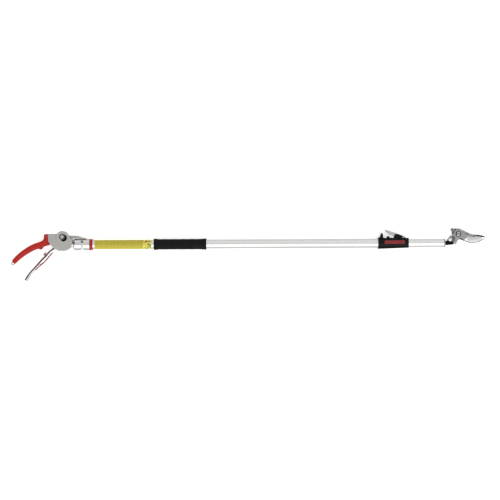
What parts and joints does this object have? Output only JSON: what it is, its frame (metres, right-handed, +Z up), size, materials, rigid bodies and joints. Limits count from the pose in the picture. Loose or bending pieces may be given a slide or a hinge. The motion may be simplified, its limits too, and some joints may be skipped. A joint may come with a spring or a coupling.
{
  "type": "telescopic pole pruner",
  "caption": "Telescopic long-reach bypass pruner: squeeze-lever handle with cord reel, swivel sleeve, two-section pole with cam clamp, and a curved blade head.",
  "frame": {"origin": "under the middle of the whole tool, on the surface that it lies on", "axes": "+X along the pole towards the cutting head, +Z up, away from the flat back, +Y from the squeeze lever towards the top of the tool"},
  "size_m": [1.2512, 0.1352, 0.0345],
  "materials": {
    "housing_cast": "satin die-cast, fine orange peel",
    "latch_cast": "satin die-cast",
    "sleeve_polished": "polished",
    "zinc_steel": "zinc plated",
    "bright_steel": "bright turned",
    "dark_steel": "blackened",
    "tang_steel": "satin",
    "grip_vinyl": "soft dipped vinyl, low gloss",
    "spring_steel": "drawn wire",
    "lever_chrome": "bright plated",
    "pad_red": "moulded",
    "cord_braid": "braided",
    "catch_red": "moulded",
    "reel_plastic": "moulded",
    "bush_nylon": "white nylon",
    "collar_red": "moulded",
    "tube_aluminium": "drawn, clear anodised",
    "ring_aluminium": "satin",
    "label_film": "printed film",
    "foam_black": "closed-cell foam",
    "clamp_plastic": "fine texture",
    "inlay_red": "soft moulded",
    "cam_silver": "satin silver",
    "shoe_rubber": "matt",
    "neck_plastic": "moulded",
    "head_cast": "machined grey casting",
    "hook_steel": "ground",
    "bolt_steel": "turned",
    "blade_steel": "polished",
    "plate_matte": "bead blasted",
    "strip_black": "matt"
  },
  "bodies": {
    "handle": {"housing_front": "housing_cast", "housing_back": "housing_cast", "housing_screws": "zinc_steel", "grip_tang": "tang_steel", "fixed_grip": "grip_vinyl", "axle_screw": "bright_steel", "axle_washer": "dark_steel", "axle_nut": "zinc_steel", "lever_spring": "spring_steel", "reel_spring": "spring_steel", "pawl_pin": "zinc_steel", "latch_pin": "zinc_steel", "swivel_sleeve": "sleeve_polished"},
    "lever": {"trigger_lever": "lever_chrome", "finger_pad": "pad_red", "roller_pin": "zinc_steel", "cord_loop": "cord_braid"},
    "lock": {"lever_lock": "catch_red"},
    "roller": {"pull_roller": "reel_plastic"},
    "reel": {"cord_reel": "reel_plastic"},
    "pawl": {"reel_pawl": "dark_steel"},
    "latch": {"latch_arm": "latch_cast"},
    "pole": {"swivel_bush": "bush_nylon", "index_pin": "dark_steel", "collar": "collar_red", "outer_tube": "tube_aluminium", "label_band": "label_film", "foam_grip": "foam_black", "clamp_body": "clamp_plastic", "clamp_inlay": "inlay_red", "clamp_pin": "zinc_steel", "guide_bush": "reel_plastic"},
    "cam": {"clamp_lever": "cam_silver"},
    "shoe": {"clamp_shoe": "shoe_rubber"},
    "mast": {"inner_tube": "tube_aluminium", "tube_plug": "reel_plastic", "end_ring": "ring_aluminium", "neck": "neck_plastic", "head_body": "head_cast", "hook_blade": "hook_steel", "hook_rivets": "dark_steel", "pivot_bolt": "bolt_steel", "pivot_nut": "bolt_steel", "blade_spring": "spring_steel"},
    "blade": {"cutting_blade": "blade_steel", "hold_plate": "plate_matte", "hold_strip": "strip_black", "hold_screws": "dark_steel", "tail_pin": "zinc_steel"},
    "cord": {"drive_cord": "cord_braid", "cord_clevis": "zinc_steel"}
  },
  "joints": [
    {"name": "pole_turn", "type": "hinge", "parent": "handle", "child": "pole", "pos_m": [-0.43, 0.02895, 0.0165], "axis": [1, 0, 0], "range_deg": [0, 154]},
    {"name": "telescope", "type": "slide", "parent": "pole", "child": "mast", "axis": [1, 0, 0], "range_m": [0, 0.72]},
    {"name": "lever_pull", "type": "hinge", "parent": "handle", "child": "lever", "pos_m": [-0.4894, 0.04975, 0.0165], "axis": [0, 0, 1], "range_deg": [0, 20]},
    {"name": "lock_slide", "type": "slide", "parent": "lever", "child": "lock", "axis": [0.6561, 0.7547, 0], "range_m": [0, 0.004]},
    {"name": "roller_spin", "type": "hinge", "parent": "lever", "child": "roller", "pos_m": [-0.5, 0.03415, 0.0165], "axis": [0, 0, 1], "continuous": true},
    {"name": "reel_turn", "type": "hinge", "parent": "handle", "child": "reel", "pos_m": [-0.4894, 0.04975, 0.0165], "axis": [0, 0, 1], "range_deg": [-5160, 0]},
    {"name": "pawl_turn", "type": "hinge", "parent": "handle", "child": "pawl", "pos_m": [-0.4715, 0.03745, 0.0165], "axis": [0, 0, 1], "range_deg": [-8, 0], "stiffness_Nm_per_rad": 0.02},
    {"name": "latch_lift", "type": "hinge", "parent": "handle", "child": "latch", "pos_m": [-0.473, 0.04845, 0.0165], "axis": [0, 0, 1], "range_deg": [0, 6], "stiffness_Nm_per_rad": 0.5},
    {"name": "clamp_turn", "type": "hinge", "parent": "pole", "child": "cam", "pos_m": [0.4076, 0.04445, 0.0165], "axis": [0, 0, -1], "range_deg": [-13, 35]},
    {"name": "shoe_press", "type": "slide", "parent": "pole", "child": "shoe", "axis": [0, 1, 0], "range_m": [-0.0003, 0.0008]},
    {"name": "blade_turn", "type": "hinge", "parent": "mast", "child": "blade", "pos_m": [0.5552, 0.05275, 0.0165], "axis": [0, 0, 1], "range_deg": [0, 32], "deforming": ["blade_spring"]},
    {"name": "cord_pull", "type": "slide", "parent": "mast", "child": "cord", "axis": [1, 0, 0], "range_m": [0, 0.0134]}
  ],
  "couplings": [
    {"joint": "blade_turn", "follows": "lever_pull", "ratio": 1.6},
    {"joint": "cord_pull", "follows": "lever_pull", "m_per_rad": 0.03833},
    {"joint": "reel_turn", "follows": "telescope", "rad_per_m": -125},
    {"joint": "shoe_press", "follows": "clamp_turn", "m_per_rad": 0.0012}
  ]
}
